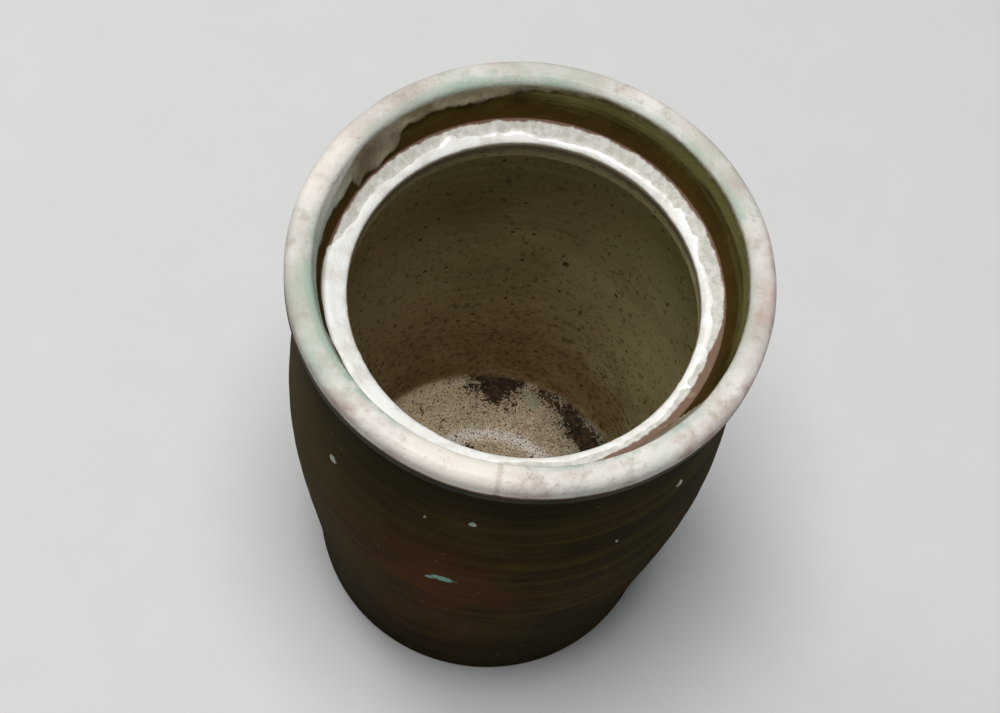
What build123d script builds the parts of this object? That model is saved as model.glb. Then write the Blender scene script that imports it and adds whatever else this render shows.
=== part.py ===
from build123d import *
import os

# Stoneware crock fermenter: a thrown crock with a sunk lid seat, its knobbed lid, and two half-round
# weight stones. Millimetres, +Z up. The origin is the centre of the crock's flat base, and everything
# stands on the plane Z = 0. The lid lies on that plane behind the crock (+Y), and the two stones are
# stacked on the crock's inside floor, in its front half (-Y).

# Crock, outside
CROCK_HEIGHT = 254.0
RIM_RADIUS = 95.0
RIM_BAND_BASE = 240.0      # height of the upright rim band's lower edge
NECK_RADIUS = 91.0         # outside, under the rim band
NECK_HEIGHT = 233.0
SHOULDER_RADIUS = 92.5
SHOULDER_HEIGHT = 182.0
BELLY_RADIUS = 93.4
BELLY_HEIGHT = 150.0
UPPER_WALL_RADIUS = 92.0
UPPER_WALL_HEIGHT = 121.0
LOWER_WALL_RADIUS = 85.0
LOWER_WALL_HEIGHT = 64.0
FOOT_RADIUS = 78.4
FOOT_ROUND = 2.5

# Crock, lid seat and mouth
RIM_INNER_RADIUS = 85.5
SEAT_OUTER_RADIUS = 79.2
SEAT_OUTER_HEIGHT = 232.5
MOUTH_RADIUS = 70.9
SEAT_INNER_HEIGHT = 228.0  # the seat falls towards the mouth
MOUTH_BASE = 216.5         # height of the mouth collar's lower edge
RIM_LOWER_ROUND = 2.5
RIM_OUTER_ROUND = 4.5
RIM_INNER_ROUND = 4.0
SEAT_OUTER_ROUND = 1.2
MOUTH_TOP_ROUND = 2.2
MOUTH_BASE_ROUND = 1.5
COLLAR_ROUND = 9.0         # hollow curve under the collar

# Crock, inside
WALL = 8.8
FLOOR_HEIGHT = 10.2
FLOOR_RADIUS = 69.4
FLOOR_ROUND = 6.0

# Lid, from the foot of its locating ring
RING_RADIUS = 66.5
RING_THICKNESS = 8.5
RING_HEIGHT = 10.0
LID_RADIUS = 75.5
LID_BEARING_RADIUS = 71.5  # the lid's sloping edge, which sits on the seat, starts here
LID_EDGE_HEIGHT = 20.0
LID_DISH_HEIGHT = 17.5     # top of the sunk middle
LID_DISH_RADIUS = 62.0
LID_EDGE_ROUND = 2.5
LID_RECESS_HEIGHT = 9.5    # ceiling of the hollow inside the locating ring
RECESS_ROUND = 3.0         # rounds, in order from the hollow outwards and over the edge
RING_ROUND = 2.0
RING_ROOT_ROUND = 1.2
LID_BEARING_ROUND = 0.8
LID_LOWER_ROUND = 1.5
LID_DISH_ROUND = 12.0
KNOB_BASE_RADIUS = 17.0
KNOB_NECK_RADIUS = 10.5
KNOB_NECK_HEIGHT = 24.0
KNOB_HEAD_RADIUS = 15.5
KNOB_HEAD_HEIGHT = 32.5
LID_HEIGHT = 39.0
LID_CLEARANCE = 4.0        # between the lid and the crock's rim, so that it lifts straight up

# Weight stones
STONE_RADIUS = 64.5
STONE_THICKNESS = 16.0
STONE_EDGE_ROUND = 2.5
STONE_CORNER_ROUND = 4.0
NOTCH_RADIUS = 12.0
REST_GAP = 0.3             # unevenness of fired faces that lie on each other


def outside_curve():
    """The thrown wall from the foot to the neck, swelling to the belly."""
    return Spline(
        (FOOT_RADIUS, FOOT_ROUND),
        (LOWER_WALL_RADIUS, LOWER_WALL_HEIGHT),
        (UPPER_WALL_RADIUS, UPPER_WALL_HEIGHT),
        (BELLY_RADIUS, BELLY_HEIGHT),
        (SHOULDER_RADIUS, SHOULDER_HEIGHT),
        (NECK_RADIUS, NECK_HEIGHT),
    )


def inside_curve():
    """The inside wall from just above the floor's rounded corner to below the mouth collar."""
    return Spline(
        (FLOOR_RADIUS, FLOOR_HEIGHT + FLOOR_ROUND),
        (LOWER_WALL_RADIUS - WALL, LOWER_WALL_HEIGHT),
        (UPPER_WALL_RADIUS - WALL, UPPER_WALL_HEIGHT),
        (BELLY_RADIUS - WALL, BELLY_HEIGHT),
        (SHOULDER_RADIUS - WALL, SHOULDER_HEIGHT),
    )


def rim_and_seat(outside, inside):
    """The rim band, its rounded crest, the lid seat, and the mouth collar with its hollow underside."""
    return FilletPolyline(
        outside @ 1,
        (RIM_RADIUS, RIM_BAND_BASE),
        (RIM_RADIUS, CROCK_HEIGHT),
        (RIM_INNER_RADIUS, CROCK_HEIGHT),
        (SEAT_OUTER_RADIUS, SEAT_OUTER_HEIGHT),
        (MOUTH_RADIUS, SEAT_INNER_HEIGHT),
        (MOUTH_RADIUS, MOUTH_BASE),
        (SHOULDER_RADIUS - WALL, MOUTH_BASE - COLLAR_ROUND),
        inside @ 1,
        radius=[
            RIM_LOWER_ROUND,
            RIM_OUTER_ROUND,
            RIM_INNER_ROUND,
            SEAT_OUTER_ROUND,
            MOUTH_TOP_ROUND,
            MOUTH_BASE_ROUND,
            COLLAR_ROUND,
        ],
    )


def crock_body():
    """The crock: one thrown and fired piece, open at the top."""
    with BuildPart() as crock:
        with BuildSketch(Plane.XZ):
            with BuildLine():
                outside = outside_curve()
                inside = inside_curve()
                rim_and_seat(outside, inside)
                RadiusArc(
                    (FLOOR_RADIUS - FLOOR_ROUND, FLOOR_HEIGHT),
                    (FLOOR_RADIUS, FLOOR_HEIGHT + FLOOR_ROUND),
                    -FLOOR_ROUND,
                )
                Polyline(
                    (FLOOR_RADIUS - FLOOR_ROUND, FLOOR_HEIGHT),
                    (0, FLOOR_HEIGHT),
                    (0, 0),
                    (FOOT_RADIUS - FOOT_ROUND, 0),
                )
                RadiusArc(
                    (FOOT_RADIUS - FOOT_ROUND, 0),
                    (FOOT_RADIUS, FOOT_ROUND),
                    -FOOT_ROUND,
                )
            make_face()
        revolve(axis=Axis.Z)
    return crock.part


def lid():
    """The lid: a dished disc with a knob, a sloping edge for the seat and a locating ring below."""
    seat_slope = (SEAT_OUTER_HEIGHT - SEAT_INNER_HEIGHT) / (SEAT_OUTER_RADIUS - MOUTH_RADIUS)
    edge_base = RING_HEIGHT + (LID_RADIUS - LID_BEARING_RADIUS) * seat_slope
    with BuildPart() as cover:
        with BuildSketch(Plane.XZ):
            with BuildLine():
                FilletPolyline(
                    (0, LID_RECESS_HEIGHT),
                    (RING_RADIUS - RING_THICKNESS, LID_RECESS_HEIGHT),
                    (RING_RADIUS - RING_THICKNESS, 0),
                    (RING_RADIUS, 0),
                    (RING_RADIUS, RING_HEIGHT),
                    (LID_BEARING_RADIUS, RING_HEIGHT),
                    (LID_RADIUS, edge_base),
                    (LID_RADIUS, LID_EDGE_HEIGHT),
                    (LID_DISH_RADIUS, LID_DISH_HEIGHT),
                    (KNOB_BASE_RADIUS, LID_DISH_HEIGHT),
                    radius=[
                        RECESS_ROUND,
                        RING_ROUND,
                        RING_ROUND,
                        RING_ROOT_ROUND,
                        LID_BEARING_ROUND,
                        LID_LOWER_ROUND,
                        LID_EDGE_ROUND,
                        LID_DISH_ROUND,
                    ],
                )
                Spline(
                    (KNOB_BASE_RADIUS, LID_DISH_HEIGHT),
                    (KNOB_NECK_RADIUS, KNOB_NECK_HEIGHT),
                    (KNOB_HEAD_RADIUS, KNOB_HEAD_HEIGHT),
                    (0, LID_HEIGHT),
                    tangents=[(-1, 0), (-1, 0)],
                )
                Line((0, LID_HEIGHT), (0, LID_RECESS_HEIGHT))
            make_face()
        revolve(axis=Axis.Z)
    behind_crock = RIM_RADIUS + LID_CLEARANCE + LID_RADIUS
    return Pos(0, behind_crock, 0) * cover.part


def weight_stone(base_height):
    """Half of a round press weight, its straight edge on the crock's centre plane."""
    with BuildPart() as stone:
        with BuildSketch(Plane.XY.offset(base_height)) as plan:
            Circle(STONE_RADIUS)
            with Locations((0, STONE_RADIUS)):
                Rectangle(2 * STONE_RADIUS, 2 * STONE_RADIUS, mode=Mode.SUBTRACT)
            Circle(NOTCH_RADIUS, mode=Mode.SUBTRACT)
            fillet(plan.vertices(), STONE_CORNER_ROUND)
        extrude(amount=STONE_THICKNESS)
        flat_faces = stone.faces().filter_by(Axis.Z)
        fillet(flat_faces.edges(), STONE_EDGE_ROUND)
    return stone.part


def main():
    lower_stone_base = FLOOR_HEIGHT + REST_GAP
    upper_stone_base = lower_stone_base + STONE_THICKNESS + REST_GAP
    nodes = {
        "crock_body": crock_body(),
        "lid": lid(),
        "weight_stone_lower": weight_stone(lower_stone_base),
        "weight_stone_upper": weight_stone(upper_stone_base),
    }
    os.makedirs("parts", exist_ok=True)
    for name, solid in nodes.items():
        export_step(solid, f"parts/{name}.step")


main()
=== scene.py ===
import math

import bmesh
import bpy
import numpy as np
from mathutils import Matrix, Vector


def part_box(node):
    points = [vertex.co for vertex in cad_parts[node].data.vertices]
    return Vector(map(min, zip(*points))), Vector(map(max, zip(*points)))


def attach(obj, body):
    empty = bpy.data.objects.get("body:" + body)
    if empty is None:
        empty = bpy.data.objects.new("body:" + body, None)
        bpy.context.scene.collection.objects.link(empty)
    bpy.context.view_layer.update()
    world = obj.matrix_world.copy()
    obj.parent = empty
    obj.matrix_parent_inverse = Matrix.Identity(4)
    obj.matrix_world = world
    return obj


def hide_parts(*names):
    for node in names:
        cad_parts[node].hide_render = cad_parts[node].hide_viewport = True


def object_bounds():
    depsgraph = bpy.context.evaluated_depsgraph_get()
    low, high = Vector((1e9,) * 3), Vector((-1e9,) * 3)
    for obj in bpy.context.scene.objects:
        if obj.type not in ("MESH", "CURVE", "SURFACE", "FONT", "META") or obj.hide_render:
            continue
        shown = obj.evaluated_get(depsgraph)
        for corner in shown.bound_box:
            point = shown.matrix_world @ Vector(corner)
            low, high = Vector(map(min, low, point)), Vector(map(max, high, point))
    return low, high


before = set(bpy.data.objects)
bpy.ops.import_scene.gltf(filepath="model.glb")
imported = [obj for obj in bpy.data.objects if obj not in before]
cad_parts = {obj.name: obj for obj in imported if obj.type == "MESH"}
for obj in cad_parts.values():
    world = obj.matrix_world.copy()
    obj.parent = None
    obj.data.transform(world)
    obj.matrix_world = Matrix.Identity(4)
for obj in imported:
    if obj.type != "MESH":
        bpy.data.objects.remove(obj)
cad_low, cad_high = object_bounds()

# Lengths are metres and angles are degrees round the crock's axis, 0 along +X and -90 to the front.
MM = 0.001


# ---------------------------------------------------------------- noise on numpy arrays


def lattice(cell, seed):
    """A fixed number from 0 to 1 for each whole-number lattice point."""
    n = cell[..., 0] * 374761393 + cell[..., 1] * 668265263 + cell[..., 2] * 1440662683
    n = n + seed * 1274126177
    n = (n ^ (n >> 13)) * 1274126177
    n = n ^ (n >> 16)
    return (n & 0xFFFFFF) / 0xFFFFFF


def smooth_noise(points, seed):
    """Value noise from -1 to 1, with one bump to a unit of length."""
    base = np.floor(points).astype(np.int64)
    part = points - base
    part = part * part * (3 - 2 * part)
    total = 0
    for corner in np.ndindex(2, 2, 2):
        weight = np.prod(np.where(corner, part, 1 - part), axis=-1)
        total = total + weight * lattice(base + corner, seed)
    return 2 * total - 1


def fractal(points, grain, octaves=4, seed=0):
    """Noise whose largest bumps are grain across, from about -1 to 1."""
    total, height = 0, 0.55
    for k in range(octaves):
        total = total + height * smooth_noise(points / grain * 2**k, seed + k)
        height /= 2
    return total


def step(low, high, value):
    """0 below low and 1 above high, with a smooth turn between."""
    t = np.clip((value - low) / (high - low), 0, 1)
    return t * t * (3 - 2 * t)


def bump(value, middle, width):
    """A rounded hump of height 1 round middle."""
    return np.exp(-(((value - middle) / width) ** 2))


def turn_from(angle, middle):
    """How far angle is from middle, in degrees, from -180 to 180."""
    return (angle - middle + 180) % 360 - 180


def window(value, low, high, soft):
    """1 from low to high and 0 outside, with edges of width soft."""
    return step(low - soft / 2, low + soft / 2, value) * step(high + soft / 2, high - soft / 2, value)


def sector(angle, low, high, soft):
    """1 from angle low round to angle high, anticlockwise."""
    half = ((high - low) % 360) / 2
    return window(turn_from(angle, low + half), -half, half, soft)


def on_a_circle(angle):
    """Points on a circle of 80 mm radius, for noise that changes only with the angle."""
    turn = np.radians(angle)
    return np.stack([np.cos(turn), np.sin(turn), 0 * turn], -1) * 0.08


def new_object(name, data):
    """An object with that data, linked to the scene."""
    made = bpy.data.objects.new(name, data)
    bpy.context.scene.collection.objects.link(made)
    return made


# ---------------------------------------------------------------- round bodies from the CAD sections

CUT_SKEW = 0.01  # radians; the section plane stands a little off the CAD seam


def section_outline(node):
    """The node's half section, as (radius, height) points from its foot on the axis, and its axis."""
    low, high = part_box(node)
    axis = Vector(((low.x + high.x) / 2, (low.y + high.y) / 2, 0))
    mesh = bmesh.new()
    mesh.from_mesh(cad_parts[node].data)
    bmesh.ops.remove_doubles(mesh, verts=mesh.verts, dist=1e-6)
    bmesh.ops.bisect_plane(
        mesh,
        geom=mesh.verts[:] + mesh.edges[:] + mesh.faces[:],
        plane_co=axis,
        plane_no=(math.sin(CUT_SKEW), math.cos(CUT_SKEW), 0),
        clear_inner=True,
        clear_outer=True,
    )
    kept = {v for v in mesh.verts if v.co.x - axis.x > 1e-5}
    ends = [v for v in kept if sum(e.other_vert(v) in kept for e in v.link_edges) == 1]
    here = min(ends, key=lambda v: v.co.z)
    chain, seen = [here], {here}
    while True:
        ahead = [e.other_vert(here) for e in here.link_edges]
        ahead = [v for v in ahead if v in kept and v not in seen]
        if not ahead:
            break
        here = ahead[0]
        seen.add(here)
        chain.append(here)
    points = [((v.co - axis).xy.length, v.co.z) for v in chain]
    mesh.free()
    return np.array([(0, points[0][1]), *points, (0, points[-1][1])]), axis


class Section:
    """A half section with points spacing(radius, height) apart, and how far along each one is."""

    def __init__(self, node, spacing):
        outline, self.axis = section_outline(node)
        lengths = np.hypot(*np.diff(outline, axis=0).T)
        run = np.concatenate([[0], np.cumsum(lengths)])
        stops = [0.0]
        while stops[-1] < run[-1]:
            radius = np.interp(stops[-1], run, outline[:, 0])
            height = np.interp(stops[-1], run, outline[:, 1])
            stops.append(stops[-1] + spacing(radius, height))
        self.along = np.array(stops[:-1]) * run[-1] / stops[-2]
        self.radius = np.interp(self.along, run, outline[:, 0])
        self.height = np.interp(self.along, run, outline[:, 1])
        direction = np.stack([np.gradient(self.radius), np.gradient(self.height)], 1)
        direction /= np.linalg.norm(direction, axis=1)[:, None]
        self.normal = np.stack([direction[:, 1], -direction[:, 0]], 1)

    def at(self, radius, height):
        """How far along the section its point nearest to (radius, height) is."""
        return self.along[np.argmin(np.hypot(self.radius - radius, self.height - height))]


def lathe(name, section, columns, shape):
    """A closed body turned from the section. shape(angle, along, radius, height, points) gives the lift
    off the surface, the shift outwards and upwards, and named marks for the material, as arrays."""
    rows = len(section.along)
    angle = np.tile(np.arange(columns) * 360 / columns - 180, (rows - 2, 1))
    turn = np.radians(angle)
    along, radius, height = (
        np.tile(values[1:-1, None], (1, columns))
        for values in (section.along, section.radius, section.height)
    )
    points = np.stack([radius * np.cos(turn), radius * np.sin(turn), height], -1)
    lift, outward, upward, marks = shape(angle, along, radius, height, points)
    normal = section.normal[1:-1, None, :]
    reach = radius + lift * normal[..., 0] + outward
    up = height + lift * normal[..., 1] + upward
    placed = np.stack(
        [reach * np.cos(turn) + section.axis.x, reach * np.sin(turn) + section.axis.y, up], -1
    ).reshape(-1, 3)
    first, last = len(placed), len(placed) + 1
    pole = [(section.axis.x, section.axis.y, up[i].mean()) for i in (0, -1)]
    index = np.arange(rows - 2)[:, None] * columns + np.arange(columns)
    ahead = np.roll(index, -1, axis=1)
    quads = np.stack([index[:-1], ahead[:-1], ahead[1:], index[1:]], -1).reshape(-1, 4)
    faces = quads.tolist()
    faces += [(first, ahead[0, i], index[0, i]) for i in range(columns)]
    faces += [(last, index[-1, i], ahead[-1, i]) for i in range(columns)]
    mesh = bpy.data.meshes.new(name)
    mesh.from_pydata(np.vstack([placed, pole]).tolist(), [], faces)
    marks["along"] = along
    for mark, values in marks.items():
        flat = np.concatenate([values.ravel(), [values[0].mean(), values[-1].mean()]])
        mesh.attributes.new(mark, "FLOAT", "POINT").data.foreach_set("value", flat.astype(np.float32))
    mesh.shade_smooth()
    mesh.update()
    return new_object(name, mesh)


# ---------------------------------------------------------------- material building


def colour(code):
    """Linear red, green, blue and 1 from a hexadecimal screen colour."""
    parts = [int(code[i : i + 2], 16) / 255 for i in (0, 2, 4)]
    return [p / 12.92 if p <= 0.04045 else ((p + 0.055) / 1.055) ** 2.4 for p in parts] + [1.0]


class Finish:
    """A node material. Its methods add nodes and give back the socket that carries the result."""

    def __init__(self, name):
        self.material = bpy.data.materials.new(name)
        self.material.use_nodes = True
        self.tree = self.material.node_tree
        self.shader = self.tree.nodes["Principled BSDF"]
        self.place = self.add("ShaderNodeTexCoord").outputs["Object"]

    def add(self, kind, **settings):
        node = self.tree.nodes.new(kind)
        for key, value in settings.items():
            setattr(node, key, value)
        return node

    def feed(self, socket, value):
        if isinstance(value, bpy.types.NodeSocket):
            self.tree.links.new(value, socket)
        else:
            socket.default_value = value

    def math(self, operation, *values):
        node = self.add("ShaderNodeMath", operation=operation)
        for socket, value in zip(node.inputs, values):
            self.feed(socket, value)
        return node.outputs[0]

    def mark(self, name):
        return self.add("ShaderNodeAttribute", attribute_name=name).outputs["Fac"]

    def stretched(self, scale):
        node = self.add("ShaderNodeMapping")
        self.feed(node.inputs["Vector"], self.place)
        node.inputs["Scale"].default_value = scale
        return node.outputs["Vector"]

    def noise(self, scale, detail=4.0, roughness=0.55, place=None):
        node = self.add("ShaderNodeTexNoise")
        self.feed(node.inputs["Vector"], place or self.place)
        for key, value in (("Scale", scale), ("Detail", detail), ("Roughness", roughness)):
            node.inputs[key].default_value = value
        return node.outputs["Fac"]

    def specks(self, scale, size):
        """1 at the middle of scattered round specks and 0 between them."""
        node = self.add("ShaderNodeTexVoronoi")
        self.feed(node.inputs["Vector"], self.place)
        node.inputs["Scale"].default_value = scale
        return self.span(node.outputs["Distance"], size, size * 0.4)

    def part(self, value, share):
        """value times share."""
        return self.math("MULTIPLY", value, share)

    def shaken(self, value, noise, by):
        """value moved up and down with the noise, by that many times its distance from its middle."""
        return self.math("MULTIPLY_ADD", self.math("SUBTRACT", noise, 0.5), by, value)

    def span(self, value, low, high, to_low=0.0, to_high=1.0):
        """value's smooth step from low to high, or from to_low to to_high."""
        node = self.add("ShaderNodeMapRange", interpolation_type="SMOOTHSTEP")
        for socket, v in zip(node.inputs, (value, low, high, to_low, to_high)):
            self.feed(socket, v)
        return node.outputs[0]

    def mix(self, factor, first, second):
        """Between two colours."""
        node = self.add("ShaderNodeMix", data_type="RGBA")
        self.feed(node.inputs["Factor"], factor)
        colours = [s for s in node.inputs if s.type == "RGBA"]
        self.feed(colours[0], first)
        self.feed(colours[1], second)
        return next(s for s in node.outputs if s.type == "RGBA")

    def blend(self, factor, first, second):
        """Between two numbers."""
        node = self.add("ShaderNodeMix", data_type="FLOAT")
        self.feed(node.inputs["Factor"], factor)
        numbers = [s for s in node.inputs if s.type == "VALUE" and s != node.inputs["Factor"]]
        self.feed(numbers[0], first)
        self.feed(numbers[1], second)
        return next(s for s in node.outputs if s.type == "VALUE")

    def ragged(self, value, low, high, fray, scale):
        """value's step from low to high, its edge frayed by noise of that scale."""
        return self.span(self.shaken(value, self.noise(scale, 6.0, 0.65), fray), low, high)

    def finish(self, base, roughness, height, depth):
        """Sets the surface: its colour, roughness and relief of that depth in metres."""
        relief = self.add("ShaderNodeBump")
        relief.inputs["Distance"].default_value = depth
        self.feed(relief.inputs["Height"], height)
        self.feed(self.shader.inputs["Base Color"], base)
        self.feed(self.shader.inputs["Roughness"], roughness)
        self.feed(self.shader.inputs["Normal"], relief.outputs["Normal"])
        return self.material


def dress(body, material):
    body.data.materials.clear()
    body.data.materials.append(material)


# ---------------------------------------------------------------- the crock

RIM_TOP = cad_high.z
COLUMNS = 380
FINE_ABOVE = 0.212  # the rim, gallery and seat get close rows of points
NECK_RADIUS = 0.0905  # what lies inside this, above FINE_ABOVE, is the gallery and seat
RIM_BAND_FOOT = 0.239
FLOOR_TOP, FLOOR_RADIUS = 0.013, 0.07  # a little more than the inside floor's
THROWING_PITCH = 0.018  # what the throwing spiral climbs in one turn
OUT_OF_ROUND = 1.7 * MM  # how far the rim stands out at the right
WALL_RADIUS = 0.09


def crock_spacing(radius, height):
    if height > FINE_ABOVE:
        return 1.0 * MM if radius < NECK_RADIUS or height > RIM_BAND_FOOT else 2.0 * MM
    if height < 1 * MM:
        return 6.0 * MM
    return 1.5 * MM if height < FLOOR_TOP and radius < FLOOR_RADIUS else 4.0 * MM


crock = Section("crock_body", crock_spacing)

# Where one surface gives way to the next, as lengths along the section from the middle of the foot.
FOOT_EDGE = crock.at(0.0784, 0.0)
SHOULDER = crock.at(0.0910, 0.2330)
RIM_OUTER_EDGE = crock.at(0.095, 0.244)
CREST = crock.at(0.0900, RIM_TOP)
RIM_INNER_EDGE = crock.at(0.0850, 0.2505)
GALLERY_FOOT = crock.at(0.0792, 0.2325)
SEAT_INNER = crock.at(0.0709, 0.2260)
MOUTH_FOOT = crock.at(0.0709, 0.2165)
FLOOR_EDGE = crock.at(0.0694, 0.0102)


def spot(angle, height, middle, centre, wide, tall):
    """A soft patch on the wall: its angle, its height, and its half sizes in metres."""
    across = np.radians(turn_from(angle, middle)) * WALL_RADIUS
    return np.exp(-((across / wide) ** 2) - ((height - centre) / tall) ** 2)


def streak(points, start, end, wide):
    """A soft streak on the inside floor between two places in millimetres, wide metres to its edge."""
    a, b = np.array(start) * MM, np.array(end) * MM
    away = points[..., :2] - a
    t = np.clip(away @ (b - a) / ((b - a) @ (b - a)), 0, 1)
    return np.exp(-(np.linalg.norm(away - t[..., None] * (b - a), axis=-1) / wide) ** 2)


# Dried residue on the inside floor: how dark, its two ends in millimetres, and metres to its edge.
RESIDUE = [
    (1.0, (-16, 68), (4, 67), 0.0058),
    (0.9, (-5, 65), (-5, 60), 0.0048),
    (0.9, (17, 65), (31, 57), 0.0046),
    (1.0, (35, 53), (56, 35), 0.0062),
    (0.8, (36, 47), (46, 38), 0.0045),
    (0.45, (-18, 60), (2, 56), 0.007),
    (1.0, (-28, 41), (-27, 41), 0.0014),
    (1.0, (-40, 44), (-39, 43), 0.0014),
    (1.0, (-14, 30), (-11, 29), 0.0011),
]


def crock_shape(angle, along, radius, height, points):
    around = on_a_circle(angle)
    outside = window(along, FOOT_EDGE + 0.008, SHOULDER - 0.004, 0.012)
    inside = window(along, MOUTH_FOOT + 0.02, FLOOR_EDGE - 0.006, 0.014)
    floor = step(FLOOR_EDGE - 0.002, FLOOR_EDGE + 0.004, along)
    rim = window(along, SHOULDER + 0.006, RIM_INNER_EDGE + 0.002, 0.005)
    crest = bump(along, CREST, 0.006)
    gallery = window(along, RIM_INNER_EDGE - 0.002, GALLERY_FOOT, 0.0015)
    seat = window(along, GALLERY_FOOT + 0.0005, SEAT_INNER + 0.001, 0.002)

    # Throwing: rings that climb as a slow spiral, and a form that is a little out of true.
    turns = height / THROWING_PITCH + angle / 360
    rings = np.sin(turns * 2 * math.pi + 1.4 * fractal(points, 0.05, 2, 11))
    lift = outside * (0.05 * MM * rings + 0.16 * MM * fractal(points, 0.09, 2, 21))
    lift += inside * (0.09 * MM * rings + 0.3 * MM * fractal(points, 0.05, 3, 31))
    outward = 0.3 * MM * fractal(around, 0.11, 2, 41) * step(0.02, 0.1, height)
    outward += OUT_OF_ROUND * sector(angle, -55, 45, 60) * step(0.228, 0.248, height)
    upward = crest * 0.35 * MM * (fractal(around, 0.05, 3, 51) - 0.4)
    lift += rim * 0.22 * MM * fractal(points, 0.014, 3, 61)

    # A shallow crease runs over the crest at the front.
    crease = bump(turn_from(angle, -88), 0, 1.1)
    lift -= rim * 0.3 * MM * crease

    # Pale glaze hangs down the gallery: short lobes at the back, brushed runs at the back left, and
    # the whole wall covered at the front. At the left the rim's own glaze comes well down the wall.
    start = RIM_INNER_EDGE + 0.6 * MM
    start = start + MM * (4.5 * sector(angle, 158, -150, 18) - 1.4 * sector(angle, -18, 84, 12))
    lobes = 0.5 + 0.5 * fractal(around, 0.011, 3, 65)
    hang = 1.0 + sector(angle, 102, 176, 26) * (1.0 + 8.0 * lobes)
    fingers = 0.5 + 0.5 * fractal(around + 0.3, 0.005, 2, 67)
    hang += 10 * sector(angle, 139, 158, 3) * (0.3 + 0.9 * fingers)
    hang += 26 * sector(angle, -145, -34, 14)
    hang *= MM
    below = along - start
    run = step(hang + 0.0014, hang - 0.0006, below)
    bead = bump(below, hang, 0.0018) * step(0.003, 0.006, hang) * step(0.02, 0.016, hang)
    lift += gallery * (0.45 * run + 0.45 * bead) * MM

    # The seat: a thick glossy bead of glaze along its inner part, with lumps that spill over a dry crust.
    across = (along - GALLERY_FOOT) / (SEAT_INNER - GALLERY_FOOT)
    wander = fractal(around, 0.016, 3, 71)
    knobs = np.clip(fractal(around, 0.0075, 2, 73) - 0.3, 0, 0.4)
    left = sector(angle, 176, -95, 22)
    border = 0.52 + 0.2 * wander - 1.1 * knobs - 0.95 * left
    border = border + 0.1 * fractal(points, 0.003, 2, 75)
    thick = step(border - 0.07, border + 0.14, across)
    lift += seat * MM * (0.75 + 1.0 * knobs) * thick
    lift += seat * MM * 0.12 * (1 - thick) * fractal(points, 0.006, 2, 77)

    # The inside floor: grit, and a granular ring round its middle at the back.
    grit = fractal(points, 0.0035, 3, 91)
    ring = bump(radius, 0.0385, 0.0035) * sector(angle, 50, 132, 20)
    lift += floor * (0.2 * MM * grit + 0.45 * MM * ring * (0.5 + grit))

    dark = sum(shade * streak(points, start, end, wide) for shade, start, end, wide in RESIDUE)
    algae = streak(points, (8, 66), (14, 60), 0.005) + streak(points, (30, 54), (36, 52), 0.0045)

    # The rim's colours: some lie all over it, and some only on its inner or its outer side.
    inner = step(CREST + 0.001, CREST + 0.005, along)
    green = 0.9 * sector(angle, -178, -128, 26) + 0.75 * sector(angle, 80, 125, 24)
    green += 0.5 * sector(angle, 22, 60, 20) + 0.3 * sector(angle, -75, -40, 20)
    green = green * (0.75 + 0.25 * inner) + (0.4 + 0.4 * sector(angle, -140, -30, 20)) * inner
    rose = 0.35 + 0.6 * sector(angle, -140, -116, 12) + 0.5 * sector(angle, -70, 40, 40)
    rose = rose * (1 - inner) + 0.6 * bump(along, RIM_OUTER_EDGE + 0.004, 0.003)

    # On the walls: a red flush and a pale fleck outside, and two dark spots inside.
    flash = spot(angle, height, -98, 0.135, 0.042, 0.04) + 0.5 * spot(angle, height, -104, 0.06, 0.03, 0.03)
    bloom = spot(angle, height, -97, 0.146, 0.0055, 0.0022) + spot(angle, height, -101, 0.143, 0.003, 0.0016)
    soot = spot(angle, height, 79, 0.114, 0.0022, 0.0022) + spot(angle, height, 136, 0.029, 0.006, 0.002)
    marks = {
        "floor": floor,
        "outside": window(along, FOOT_EDGE, RIM_OUTER_EDGE, 0.002),
        "rim": rim,
        "to_gallery": below * 100,
        "to_seat": (along - GALLERY_FOOT + 2.6 * MM * left + 0.5 * MM) * 100,
        "run": step(hang + 0.0034, hang - 0.0018, below),
        "pale": sector(angle, 162, -34, 20),
        "thick": thick * step(-0.1, 0.1, across + 0.45 * left) * step(1.3, 1.1, across),
        "across": across,
        "moss": sector(angle, -12, 96, 30) * window(along, start, start + 0.008, 0.012),
        "green": green,
        "cream": sector(angle, -112, -86, 10) + 0.5 * sector(angle, 150, 176, 16),
        "rose": rose,
        "crease": crease * rim,
        "tan": sector(angle, -62, -4, 16) + 0.8 * bump(turn_from(angle, -171), 0, 3),
        "flash": flash,
        "bloom": bloom,
        "stain": dark * step(0.022, 0.014, height) * step(FLOOR_EDGE - 0.02, FLOOR_EDGE - 0.01, along),
        "algae": floor * algae,
        "granular": floor * ring,
        "lime": bump(along, FLOOR_EDGE + 0.001, 0.0013) * sector(angle, 98, 176, 16),
        "soot": soot,
    }
    return lift, outward, upward, marks


crock_visual = lathe("crock_glazed_body", crock, COLUMNS, crock_shape)
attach(crock_visual, "crock")
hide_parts("crock_body")


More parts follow.
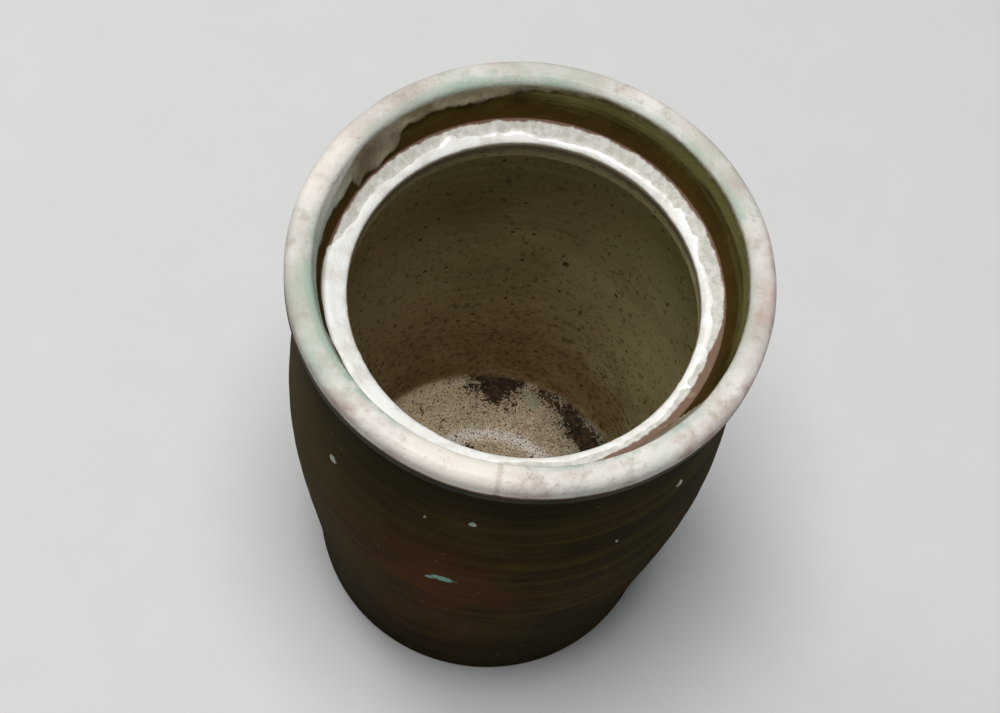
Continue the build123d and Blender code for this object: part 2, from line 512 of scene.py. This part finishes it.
def ash_glaze():
    """Brown-green wood-ash glaze outside, a pale speckled one inside, and a whitish rim and seat."""
    f = Finish("ash_glaze_fired")
    cloudy = f.noise(22, 5, 0.6)
    fine = f.noise(420, 5, 0.65)
    sand = f.noise(1100, 3, 0.6)
    throwing = f.noise(9, 6, 0.62, f.stretched((1, 1, 26)))
    axes = f.add("ShaderNodeSeparateXYZ")
    f.feed(axes.inputs[0], f.place)
    x, y, z = axes.outputs
    part = f.part

    # Outside: olive brown with gold and dark throwing streaks, with a soft red flush over the front. Its
    # base browns are darker than the glaze's own colour, which is partly painted shade; it is lighter at the
    # left with painted light and a soft painted window reflection, and darker with painted shade under the
    # rim and low down.
    # The two base browns are darker than the glaze's own olive brown: partly painted shade.
    outside = f.mix(f.span(cloudy, 0.35, 0.68), colour("2A210C"), colour("3C3014"))
    # Painted light: the left side is lighter where light and a soft window reflection fall on it.
    outside = f.mix(part(f.span(x, -0.03, -0.09), 0.65), outside, colour("4E4226"))
    outside = f.mix(part(f.span(throwing, 0.46, 0.68), 0.65), outside, colour("463A16"))
    outside = f.mix(part(f.span(throwing, 0.47, 0.32), 0.4), outside, colour("1C1709"))
    # Painted shade under the rim's overhang.
    outside = f.mix(part(f.span(z, 0.2, 0.236), 0.7), outside, colour("151004"))
    # Painted shade low down on the wall.
    outside = f.mix(part(f.span(z, 0.13, 0.03), 0.55), outside, colour("1C170F"))
    flash = part(f.mark("flash"), f.span(f.noise(38, 5, 0.6), 0.28, 0.66))
    outside = f.mix(part(flash, 0.8), outside, colour("552E12"))
    outside = f.mix(part(f.specks(300, 0.17), 0.6), outside, colour("120E08"))
    outside = f.mix(part(f.specks(95, 0.08), 0.5), outside, colour("6F6A52"))
    outside = f.mix(f.ragged(f.mark("bloom"), 0.35, 0.6, 0.9, 260), outside, colour("7FA795"))

    # Inside wall: greyish khaki with fine brown specks and faint turning lines, browner low down, and
    # lighter on the right with painted light.
    inside = f.mix(f.span(cloudy, 0.35, 0.7), colour("91835F"), colour("B0A07A"))
    inside = f.mix(part(f.span(z, 0.1, 0.2), 0.75), inside, colour("B9AD86"))
    inside = f.mix(part(f.span(throwing, 0.42, 0.66), 0.35), inside, colour("8A7C57"))
    # Painted light: the right side of the inside wall is lighter where light from the left falls.
    inside = f.mix(part(f.span(x, 0.0, 0.06), 0.65), inside, colour("CEC796"))
    inside = f.mix(part(f.span(x, -0.02, -0.07), 0.6), inside, colour("C2B08E"))
    inside = f.mix(part(f.span(f.noise(14, 4), 0.45, 0.7), 0.4), inside, colour("7F6D4C"))
    low = f.span(z, 0.115, 0.03)
    inside = f.mix(part(low, f.span(f.noise(45, 5), 0.3, 0.6, 0.3, 0.8)), inside, colour("7C6342"))
    grime = f.math("MULTIPLY_ADD", low, 0.06, f.noise(330, 4, 0.65))
    inside = f.mix(part(f.span(grime, 0.55, 0.68), 0.65), inside, colour("57432B"))
    inside = f.mix(part(f.specks(230, 0.15), f.span(z, 0.16, 0.05, 0.3, 0.85)), inside, colour("4F3820"))
    inside = f.mix(part(part(f.specks(420, 0.22), low), 0.7), inside, colour("3B2817"))
    inside = f.mix(part(f.specks(95, 0.12), 0.9), inside, colour("33231A"))
    inside = f.mix(part(f.ragged(f.mark("soot"), 0.3, 0.7, 0.6, 500), 0.8), inside, colour("2A2118"))

    # Floor: sandy, greyer at the right, with dried dark residue, algae and a granular ring.
    floor = f.mix(f.span(fine, 0.35, 0.65), colour("A08C71"), colour("C6B398"))
    floor = f.mix(part(f.span(f.noise(60, 5, 0.6), 0.4, 0.65), 0.5), floor, colour("99907A"))
    floor = f.mix(part(f.span(x, 0.01, 0.045), 0.7), floor, colour("7E7A67"))
    floor = f.mix(part(f.span(x, 0.0, -0.045), 0.5), floor, colour("D6C19D"))
    floor = f.mix(part(f.span(f.noise(240, 5, 0.7), 0.54, 0.66), 0.6), floor, colour("6B573F"))
    floor = f.mix(part(f.ragged(f.mark("granular"), 0.35, 0.8, 4.5, 950), 0.75), floor, colour("E2DCD2"))
    floor = f.mix(part(f.span(sand, 0.55, 0.62), 0.85), floor, colour("4A3725"))
    floor = f.mix(part(f.specks(620, 0.2), 0.9), floor, colour("33241A"))
    floor = f.mix(part(f.ragged(f.mark("algae"), 0.2, 0.9, 1.6, 190), 0.6), floor, colour("7F8670"))
    crumbs = f.shaken(f.mark("stain"), sand, 2.6)
    debris = f.mix(f.span(f.noise(300, 4), 0.42, 0.62), colour("1D140E"), colour("452F20"))
    floor = f.mix(part(f.ragged(crumbs, 0.42, 0.8, 3.4, 420), 0.95), floor, debris)

    # Rim: chalky off-white, with green and rose where the glaze pooled.
    rim = f.mix(f.span(cloudy, 0.36, 0.62), colour("E2DDD6"), colour("C2BBB2"))
    rim = f.mix(part(f.span(y, -0.01, -0.08), 0.6), rim, colour("F2EDE6"))
    rim = f.mix(part(f.span(f.noise(130, 5, 0.65), 0.5, 0.68), 0.6), rim, colour("A69A89"))
    green = part(f.mark("green"), f.span(f.noise(48, 6, 0.65), 0.34, 0.6))
    rim = f.mix(green, rim, colour("AABAA9"))
    rose = part(f.mark("rose"), f.span(f.noise(60, 5, 0.6), 0.42, 0.66))
    rim = f.mix(part(rose, 0.8), rim, colour("BAA299"))
    rim = f.mix(part(f.mark("cream"), 0.7), rim, colour("F0E6DA"))
    pits = part(f.specks(520, 0.2), f.span(f.noise(60, 3), 0.45, 0.6))
    rim = f.mix(part(pits, 0.6), rim, colour("8A755B"))
    rim = f.mix(part(f.ragged(f.mark("crease"), 0.4, 0.9, 0.6, 300), 0.3), rim, colour("8C7356"))

    # Gallery: dark olive, warmer towards its foot, moss green at the right, pale glaze running over it.
    gallery = f.mix(f.span(f.noise(70, 5, 0.6), 0.35, 0.7), colour("362C13"), colour("4E411F"))
    gallery = f.mix(part(f.span(f.mark("to_seat"), -1.2, -0.1), 0.75), gallery, colour("4B381B"))
    brushed = f.noise(28, 6, 0.65, f.stretched((1, 1, 14)))
    moss = f.span(f.shaken(f.mark("moss"), brushed, 1.8), 0.1, 0.95)
    gallery = f.mix(part(moss, 0.85), gallery, colour("716E43"))
    covered = f.mix(f.span(f.noise(95, 5), 0.35, 0.65), colour("766A54"), colour("9C9079"))
    covered = f.mix(part(f.mark("pale"), f.span(f.mark("to_gallery"), 0.9, 0.2)), covered, colour("AEB3A4"))
    brush = f.noise(230, 5, 0.6, f.stretched((1, 1, 0.2)))
    gallery = f.mix(f.span(f.shaken(f.mark("run"), brush, 1.7), 0.25, 0.8), gallery, covered)
    gallery = f.mix(part(f.span(f.mark("to_seat"), -0.14, 0.0), 0.6), gallery, colour("55351F"))

    # Seat: dry greyish crust with a thick white bead along its inner part, its outer edge stained.
    crust = f.mix(f.span(f.noise(300, 5, 0.65), 0.35, 0.65), colour("BFBBB0"), colour("D9D6CF"))
    reach = f.math("MULTIPLY_ADD", f.mark("tan"), 0.28, 0.1)
    edge = f.shaken(f.mark("across"), f.noise(150, 5), 0.3)
    stained = f.span(edge, reach, f.math("SUBTRACT", reach, 0.08))
    crust = f.mix(part(stained, 0.9), crust, colour("70503B"))
    bead = f.mix(f.span(f.noise(110, 5, 0.6), 0.4, 0.62), colour("FAF9F4"), colour("E6E3DA"))
    seat = f.mix(f.span(f.mark("thick"), 0.35, 0.65), crust, bead)
    seat = f.mix(part(f.span(f.noise(120, 4), 0.6, 0.75), 0.25), seat, colour("BDB795"))

    along = f.mark("along")
    wander = f.noise(75, 4)

    def beyond(length, drift, soft=0.4 * MM):
        """1 beyond that length along the section, its edge drifting by that many metres."""
        return f.span(f.shaken(along, wander, drift), length - soft, length + soft)

    # From the foot, up the outside, over the rim and down the inside.
    base = f.mix(beyond(FOOT_EDGE + 1 * MM, 2 * MM), colour("6B5C47"), outside)
    # Painted shade: a dark greenish band below the rim's outer edge, in the shadow of its overhang.
    under_rim_shade = f.mix(f.span(f.noise(40, 4), 0.4, 0.6), colour("221E10"), colour("38331F"))
    base = f.mix(beyond(RIM_OUTER_EDGE - 4 * MM, 3 * MM, 2.5 * MM), base, under_rim_shade)
    base = f.mix(part(beyond(RIM_OUTER_EDGE + 0.5 * MM, 1.6 * MM), 0.8), base, colour("6F5236"))
    base = f.mix(beyond(RIM_OUTER_EDGE + 1.8 * MM, 2.5 * MM, 0.8 * MM), base, rim)
    base = f.mix(f.span(f.shaken(f.mark("to_gallery"), wander, 0.12), -0.12, 0.1), base, gallery)
    base = f.mix(f.span(f.shaken(f.mark("to_seat"), wander, 0.1), -0.04, 0.04), base, seat)
    # A grey band on the mouth's inner face below the seat's edge: grey glaze with a soft painted reflection.
    base = f.mix(beyond(SEAT_INNER - 1.6 * MM, 0.8 * MM, 0.5 * MM), base, colour("857D68"))
    base = f.mix(beyond(SEAT_INNER + 4 * MM, 3 * MM, 3 * MM), base, inside)
    base = f.mix(beyond(FLOOR_EDGE - 3 * MM, 3 * MM, 2 * MM), base, floor)
    base = f.mix(part(f.ragged(f.mark("lime"), 0.5, 0.9, 1.2, 300), 0.6), base, colour("BDB29C"))

    rough_inside = f.span(fine, 0.3, 0.7, 0.4, 0.55)
    rough = f.blend(f.mark("outside"), rough_inside, f.span(cloudy, 0.3, 0.7, 0.42, 0.6))
    rough = f.blend(part(f.mark("floor"), f.span(sand, 0.35, 0.6)), rough, 0.75)
    rough = f.blend(part(f.mark("thick"), 0.9), rough, 0.16)
    relief = f.math("ADD", part(fine, f.blend(f.mark("outside"), 0.45, 0.15)), part(cloudy, 0.4))
    relief = f.math("ADD", relief, part(throwing, f.blend(f.mark("outside"), 0.12, 0.05)))
    relief = f.math("ADD", relief, part(part(f.mark("floor"), sand), 0.9))
    gloss = f.math("MULTIPLY_ADD", f.mark("thick"), 0.85, part(f.mark("rim"), 0.1))
    gloss = f.math("MULTIPLY_ADD", f.mark("outside"), 0.04, gloss)
    f.shader.inputs["Specular IOR Level"].default_value = 0.0
    f.shader.inputs["Coat Roughness"].default_value = 0.15
    f.feed(f.shader.inputs["Coat Weight"], gloss)
    return f.finish(base, rough, relief, 0.9 * MM)


dress(crock_visual, ash_glaze())


# ---------------------------------------------------------------- drops of glaze on the outside

DROP_THICKNESS = 1.1 * MM
DROP_SUNK = 0.4 * MM  # how far a drop's middle plane lies inside the wall


def outside_radius(height):
    """The CAD wall's outside radius at a height below the rim band."""
    wall = (crock.along > FOOT_EDGE) & (crock.along < SHOULDER)
    return np.interp(height, crock.height[wall], crock.radius[wall])


def glaze_drops(places):
    """Flat rounded drops on the wall. Each place is an angle, height, half width and half length."""
    mesh = bmesh.new()
    for k, (angle, height, wide, tall) in enumerate(places):
        turn = math.radians(angle)
        out = Vector((math.cos(turn), math.sin(turn), 0))
        side = Vector((-math.sin(turn), math.cos(turn), 0))
        ball = bmesh.ops.create_icosphere(mesh, subdivisions=4, radius=1.0)["verts"]
        shapes = np.array([v.co for v in ball])
        swell = 1 + 0.22 * fractal(shapes + 7 * k, 0.9, 3, 101)
        for vert, (x, y, z), grow in zip(ball, shapes.tolist(), swell.tolist()):
            sag = 1 - 0.35 * z  # wider at its lower end, where it ran to
            base = outside_radius(height + z * tall) - DROP_SUNK
            vert.co = side * (x * wide * grow * sag) + Vector((0, 0, height + z * tall * grow))
            vert.co += out * (base + DROP_THICKNESS * max(y, -0.3) * grow)
    data = bpy.data.meshes.new("glaze_drops")
    mesh.to_mesh(data)
    mesh.free()
    data.shade_smooth()
    return new_object("glaze_drops", data)


def drop_glaze():
    """Milky green glaze, browner where it is thin."""
    f = Finish("glaze_drop_fired")
    milky = f.mix(f.span(f.noise(260, 4), 0.35, 0.65), colour("626D58"), colour("8F9A84"))
    base = f.mix(f.span(f.noise(700, 3), 0.55, 0.75), milky, colour("5C5236"))
    f.shader.inputs["Coat Weight"].default_value = 0.5
    return f.finish(base, f.span(f.noise(300, 3), 0.3, 0.7, 0.25, 0.45), f.noise(900, 3), 0.2 * MM)


drops = glaze_drops([
    (-133, 0.188, 0.0022, 0.0030),
    (-92, 0.206, 0.0018, 0.0022),
    (-36, 0.198, 0.0017, 0.0026),
    (-104, 0.199, 0.0007, 0.0010),
    (-54, 0.178, 0.0008, 0.0012),
    (28, 0.170, 0.0014, 0.0024),
    (112, 0.192, 0.0019, 0.0034),
    (160, 0.120, 0.0012, 0.0018),
])
dress(drops, drop_glaze())
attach(drops, "crock")


# ---------------------------------------------------------------- the lid

lid = Section("lid", lambda radius, height: 1.3 * MM)
LID_TOP = lid.height.max()
BEARING = lid.at(0.0735, 0.0115)
LID_EDGE = lid.at(0.0755, 0.019)
LID_PITCH = 0.009  # what the turning spiral goes inwards in one turn
LID_COLUMNS = 256


def lid_shape(angle, along, radius, height, points):
    around = on_a_circle(angle)
    top = step(LID_EDGE - 0.001, LID_EDGE + 0.004, along)
    knob = step(0.022, 0.016, radius) * step(0.019, 0.024, height)
    spiral = np.sin((radius / LID_PITCH + angle / 360) * 2 * math.pi)
    lift = top * (1 - knob) * (0.2 * MM * spiral + 0.3 * MM * fractal(points, 0.03, 3, 111))
    lift += knob * 0.35 * MM * fractal(points, 0.012, 3, 121)
    lift += window(along, BEARING, LID_EDGE + 0.002, 0.003) * 0.2 * MM * fractal(points, 0.012, 3, 131)
    lift -= 0.25 * MM * bump(radius, 0.0, 0.005) * knob
    outward = 0.3 * MM * fractal(around, 0.1, 2, 141) * top
    pool = bump(radius, 0.045, 0.018) * top * (1 - knob)
    lift += 0.3 * MM * pool * fractal(around, 0.03, 2, 145)
    worn = bump(along, LID_EDGE + 0.0015, 0.0022) + 0.9 * bump(height, LID_TOP - 0.004, 0.0025) * knob
    return lift, outward, 0 * lift, {"pool": pool, "worn": worn}


lid_visual = lathe("lid_glazed", lid, LID_COLUMNS, lid_shape)
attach(lid_visual, "lid")
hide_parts("lid")


def lid_glaze():
    """The crock's ash glaze on the top and knob, and a bare seat and ring below."""
    f = Finish("lid_glaze_fired")
    cloudy = f.noise(26, 5, 0.6)
    fine = f.noise(420, 5, 0.65)
    glaze = f.mix(f.span(cloudy, 0.35, 0.66), colour("3A2E1A"), colour("5A4A2C"))
    streaked = f.span(f.noise(55, 6, 0.65), 0.42, 0.68)
    glaze = f.mix(f.part(f.mark("pool"), streaked), glaze, colour("605E3A"))
    glaze = f.mix(f.part(f.specks(240, 0.17), 0.7), glaze, colour("1A140C"))
    glaze = f.mix(f.part(f.specks(90, 0.08), 0.6), glaze, colour("8B8468"))
    worn = f.ragged(f.mark("worn"), 0.45, 0.9, 0.8, 200)
    glaze = f.mix(f.part(worn, 0.7), glaze, colour("A08A66"))
    clay = f.mix(f.span(fine, 0.35, 0.65), colour("A08C6E"), colour("BFAE90"))
    clay = f.mix(f.part(f.specks(420, 0.2), 0.7), clay, colour("5B4630"))
    along = f.shaken(f.mark("along"), f.noise(80, 4), 3 * MM)
    glazed = f.span(along, LID_EDGE - 1.5 * MM, LID_EDGE - 0.8 * MM)
    line = f.part(f.span(along, LID_EDGE - 3.2 * MM, LID_EDGE - 1.2 * MM), 0.8)
    base = f.mix(glazed, f.mix(line, clay, colour("7A4E2C")), glaze)
    rough = f.blend(glazed, 0.82, f.span(cloudy, 0.3, 0.7, 0.3, 0.46))
    relief = f.math("ADD", f.part(fine, 0.6), f.part(cloudy, 0.4))
    f.shader.inputs["Specular IOR Level"].default_value = 0.4
    return f.finish(base, rough, relief, 0.7 * MM)


dress(lid_visual, lid_glaze())


# ---------------------------------------------------------------- the weight stones


def rough_stone(name, node, body, seed):
    """A dense copy of the CAD stone with fired-clay unevenness, cut only inwards so that it stays clear."""
    stone = new_object(name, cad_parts[node].data.copy())
    weld = stone.modifiers.new("weld", "WELD")
    weld.merge_threshold = 1e-6
    remesh = stone.modifiers.new("remesh", "REMESH")
    remesh.mode = "VOXEL"
    remesh.voxel_size = 1.1 * MM
    evaluated = stone.evaluated_get(bpy.context.evaluated_depsgraph_get())
    data = bpy.data.meshes.new_from_object(evaluated)
    stone.modifiers.clear()
    stone.data = data
    count = len(data.vertices)
    places, normals = np.zeros(count * 3), np.zeros(count * 3)
    data.vertices.foreach_get("co", places)
    data.vertices.foreach_get("normal", normals)
    places, normals = places.reshape(-1, 3), normals.reshape(-1, 3)
    depth = 0.35 * MM * (1 + fractal(places, 0.018, 3, seed)) / 2
    depth += 0.5 * MM * np.clip(fractal(places, 0.0065, 3, seed + 5) - 0.45, 0, 1)
    data.vertices.foreach_set("co", (places - normals * depth[:, None]).ravel())
    data.shade_smooth()
    data.update()
    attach(stone, body)
    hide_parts(node)
    return stone


def bare_stoneware(tint):
    """Unglazed buff clay with iron specks, darker where brine has soaked in."""
    f = Finish("bare_stoneware_fired")
    fine = f.noise(520, 5, 0.65)
    base = f.mix(f.span(fine, 0.35, 0.65), colour("A39074"), colour("C2B294"))
    base = f.mix(f.span(f.noise(24 + tint, 5, 0.6), 0.42, 0.66), base, colour("8F7C60"))
    base = f.mix(f.part(f.span(f.noise(60 + tint, 5), 0.55, 0.72), 0.6), base, colour("B58E68"))
    base = f.mix(f.part(f.specks(380, 0.21), 0.8), base, colour("4E3B28"))
    base = f.mix(f.part(f.specks(130, 0.09), 0.9), base, colour("31241A"))
    relief = f.math("ADD", f.part(fine, 0.7), f.noise(1300, 3))
    f.shader.inputs["Specular IOR Level"].default_value = 0.35
    return f.finish(base, f.span(fine, 0.3, 0.7, 0.72, 0.92), relief, 0.5 * MM)


dress(rough_stone("stone_lower_fired", "weight_stone_lower", "lower_stone", 151), bare_stoneware(0))
dress(rough_stone("stone_upper_fired", "weight_stone_upper", "upper_stone", 171), bare_stoneware(9))


# ---------------------------------------------------------------- floor, light and camera

FLOOR_SIZE = 14.0
WORLD_STRENGTH = 0.25
LIT_PLACE = (0, 0, 0.2)  # what the lights point at, near the crock's mouth
CAMERA_PLACE = (0, -0.42863, 1.01964)
CAMERA_LENS = 81.72  # millimetres, on a sensor 36 mm wide
CAMERA_PAN, CAMERA_TILT, CAMERA_ROLL = -0.726, 63.207, 10.105

floor_mesh = bmesh.new()
bmesh.ops.create_grid(floor_mesh, x_segments=8, y_segments=8, size=FLOOR_SIZE / 2)
floor_data = bpy.data.meshes.new("studio_floor")
floor_mesh.to_mesh(floor_data)
floor_mesh.free()
studio_floor = new_object("studio_floor", floor_data)
studio_floor.location.z = cad_low.z
paper = Finish("pale_paper")
grain = paper.noise(30, 4)
shade = paper.mix(grain, colour("D6D6D4"), colour("DCDCDA"))
dress(studio_floor, paper.finish(shade, 0.7, grain, 0.2 * MM))


def soft_light(name, place, size, power):
    """A round light, size metres across and of that many watts, pointing at LIT_PLACE."""
    data = bpy.data.lights.new(name, "AREA")
    data.shape = "DISK"
    data.size = size
    data.energy = power
    lamp = new_object(name, data)
    lamp.location = place
    lamp.rotation_euler = (Vector(LIT_PLACE) - Vector(place)).to_track_quat("-Z", "Y").to_euler()


soft_light("overhead_light", (-0.15, -0.1, 2.5), size=1.1, power=46)
soft_light("window_light", (-1.3, 1.1, 1.9), size=1.0, power=10)

world = bpy.data.worlds.new("studio")
world.use_nodes = True
sky = world.node_tree.nodes["Background"]
sky.inputs["Color"].default_value = colour("D2D6DC")
sky.inputs["Strength"].default_value = WORLD_STRENGTH
bpy.context.scene.world = world
bpy.context.scene.view_settings.view_transform = "Standard"

camera_data = bpy.data.cameras.new("camera")
camera_data.lens = CAMERA_LENS
camera_data.sensor_width = 36
camera = new_object("camera", camera_data)
pan, tilt, roll = (math.radians(a) for a in (CAMERA_PAN, CAMERA_TILT, CAMERA_ROLL))
forward = Vector((math.sin(pan) * math.cos(tilt), math.cos(pan) * math.cos(tilt), -math.sin(tilt)))
level = Vector((math.cos(pan), -math.sin(pan), 0))
overhead = level.cross(forward)
right = math.cos(roll) * level + math.sin(roll) * overhead
above = -math.sin(roll) * level + math.cos(roll) * overhead
turned = Matrix((right, above, -forward)).transposed().to_4x4()
camera.matrix_world = Matrix.Translation(CAMERA_PLACE) @ turned
bpy.context.scene.camera = camera
